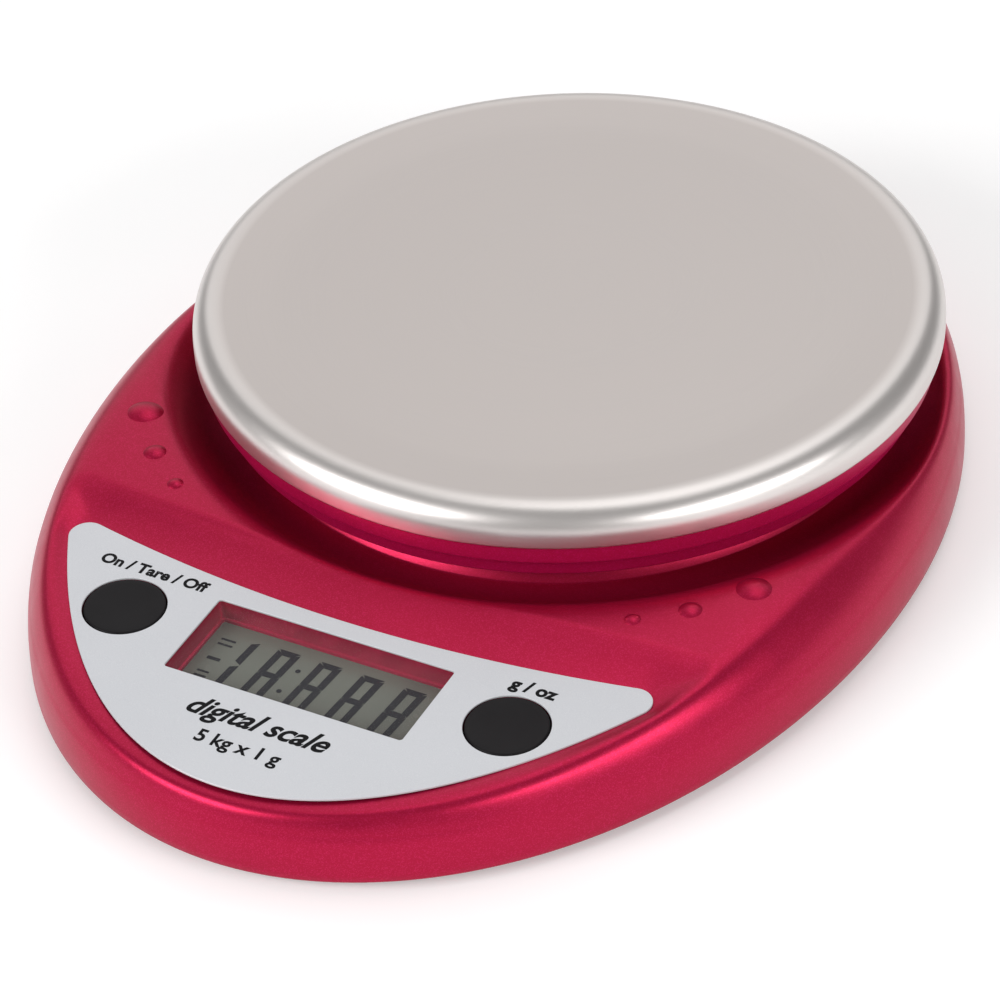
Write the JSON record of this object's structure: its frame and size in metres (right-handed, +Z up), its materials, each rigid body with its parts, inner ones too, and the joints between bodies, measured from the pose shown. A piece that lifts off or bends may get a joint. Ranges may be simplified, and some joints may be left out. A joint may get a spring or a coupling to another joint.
{
  "type": "portion scale",
  "caption": "Oval battery-powered tabletop scale with a round lift-off steel platform, a load cell inside, and a sloping panel with a display and push buttons.",
  "frame": {"origin": "middle of the footprint, on the table", "axes": "+Z up, -Y towards the panel end, +Y towards the platform end, +X to the right of a person facing the panel"},
  "size_m": [0.1586, 0.216, 0.0339],
  "materials": {
    "body_plastic": "warm red plastic with a fine satin-metallic finish",
    "tray_plastic": "smooth warm red plastic",
    "base_plastic": "fine-textured dark grey plastic",
    "stainless": "fine-brushed stainless sheet with a polished edge",
    "overlay_film": "silver-grey printed film, satin",
    "clear_window": "clear",
    "display_glass": "grey-green reflective display",
    "button_black": "satin black",
    "soft_rubber": "matte dark rubber",
    "seal_rubber": "white silicone",
    "cast_aluminium": "machined",
    "screw_steel": "zinc-plated",
    "contact_spring_steel": "nickel-plated",
    "circuit_board": "green solder mask",
    "chip_black": "black moulding",
    "crystal_can": "drawn can",
    "white_plastic": "white moulding",
    "lead_insulation": "flexible insulation",
    "battery_sleeve": "printed sleeve, dark blue-grey"
  },
  "bodies": {
    "housing": {"top_housing": "body_plastic", "bottom_housing": "base_plastic", "housing_screws": "screw_steel", "load_cell": "cast_aluminium", "gauge_seal": "seal_rubber", "cell_base_screws": "screw_steel", "overload_stop": "screw_steel", "panel_overlay": "overlay_film", "display_window": "clear_window", "lcd_glass": "display_glass", "lcd_holder": "white_plastic", "contact_strips": "soft_rubber", "main_board": "circuit_board", "board_screws": "screw_steel", "controller_chip": "chip_black", "quartz_crystal": "crystal_can", "board_capacitors": "chip_black", "sensor_socket": "white_plastic", "supply_socket": "white_plastic", "sensor_lead": "lead_insulation", "supply_leads": "lead_insulation", "battery_front": "battery_sleeve", "battery_rear": "battery_sleeve", "negative_contact": "contact_spring_steel", "positive_contact": "contact_spring_steel", "bridge_contact": "contact_spring_steel", "tare_switch_housing": "chip_black", "unit_switch_housing": "chip_black", "foot_front_right": "soft_rubber", "foot_front_left": "soft_rubber", "foot_rear_right": "soft_rubber", "foot_rear_left": "soft_rubber"},
    "platform": {"platform_tray": "tray_plastic", "platform_spider": "cast_aluminium", "spider_screws": "screw_steel", "cell_top_screws": "screw_steel"},
    "cover": {"platform_cover": "stainless", "cover_pads": "soft_rubber"},
    "tare_button": {"tare_button": "button_black", "tare_switch_plunger": "chip_black"},
    "unit_button": {"unit_button": "button_black", "unit_switch_plunger": "chip_black"},
    "battery_door": {"battery_door": "base_plastic"}
  },
  "joints": [
    {"name": "platform_deflect", "type": "slide", "parent": "housing", "child": "platform", "axis": [0, 0, -1], "range_m": [0, 0.0004], "stiffness_N_per_m": 120000, "deforming": ["load_cell"]},
    {"name": "cover_lift", "type": "slide", "parent": "platform", "child": "cover", "axis": [0, 0, 1], "range_m": [0, 0.04]},
    {"name": "tare_button_press", "type": "slide", "parent": "housing", "child": "tare_button", "axis": [0, 0.029, -0.9996], "range_m": [0, 0.0003], "stiffness_N_per_m": 6000},
    {"name": "unit_button_press", "type": "slide", "parent": "housing", "child": "unit_button", "axis": [0, 0.029, -0.9996], "range_m": [0, 0.0003], "stiffness_N_per_m": 6000},
    {"name": "battery_door_hinge", "type": "hinge", "parent": "housing", "child": "battery_door", "pos_m": [0, 0.0809, 0.0035], "axis": [1, 0, 0], "range_deg": [0, 80]}
  ]
}
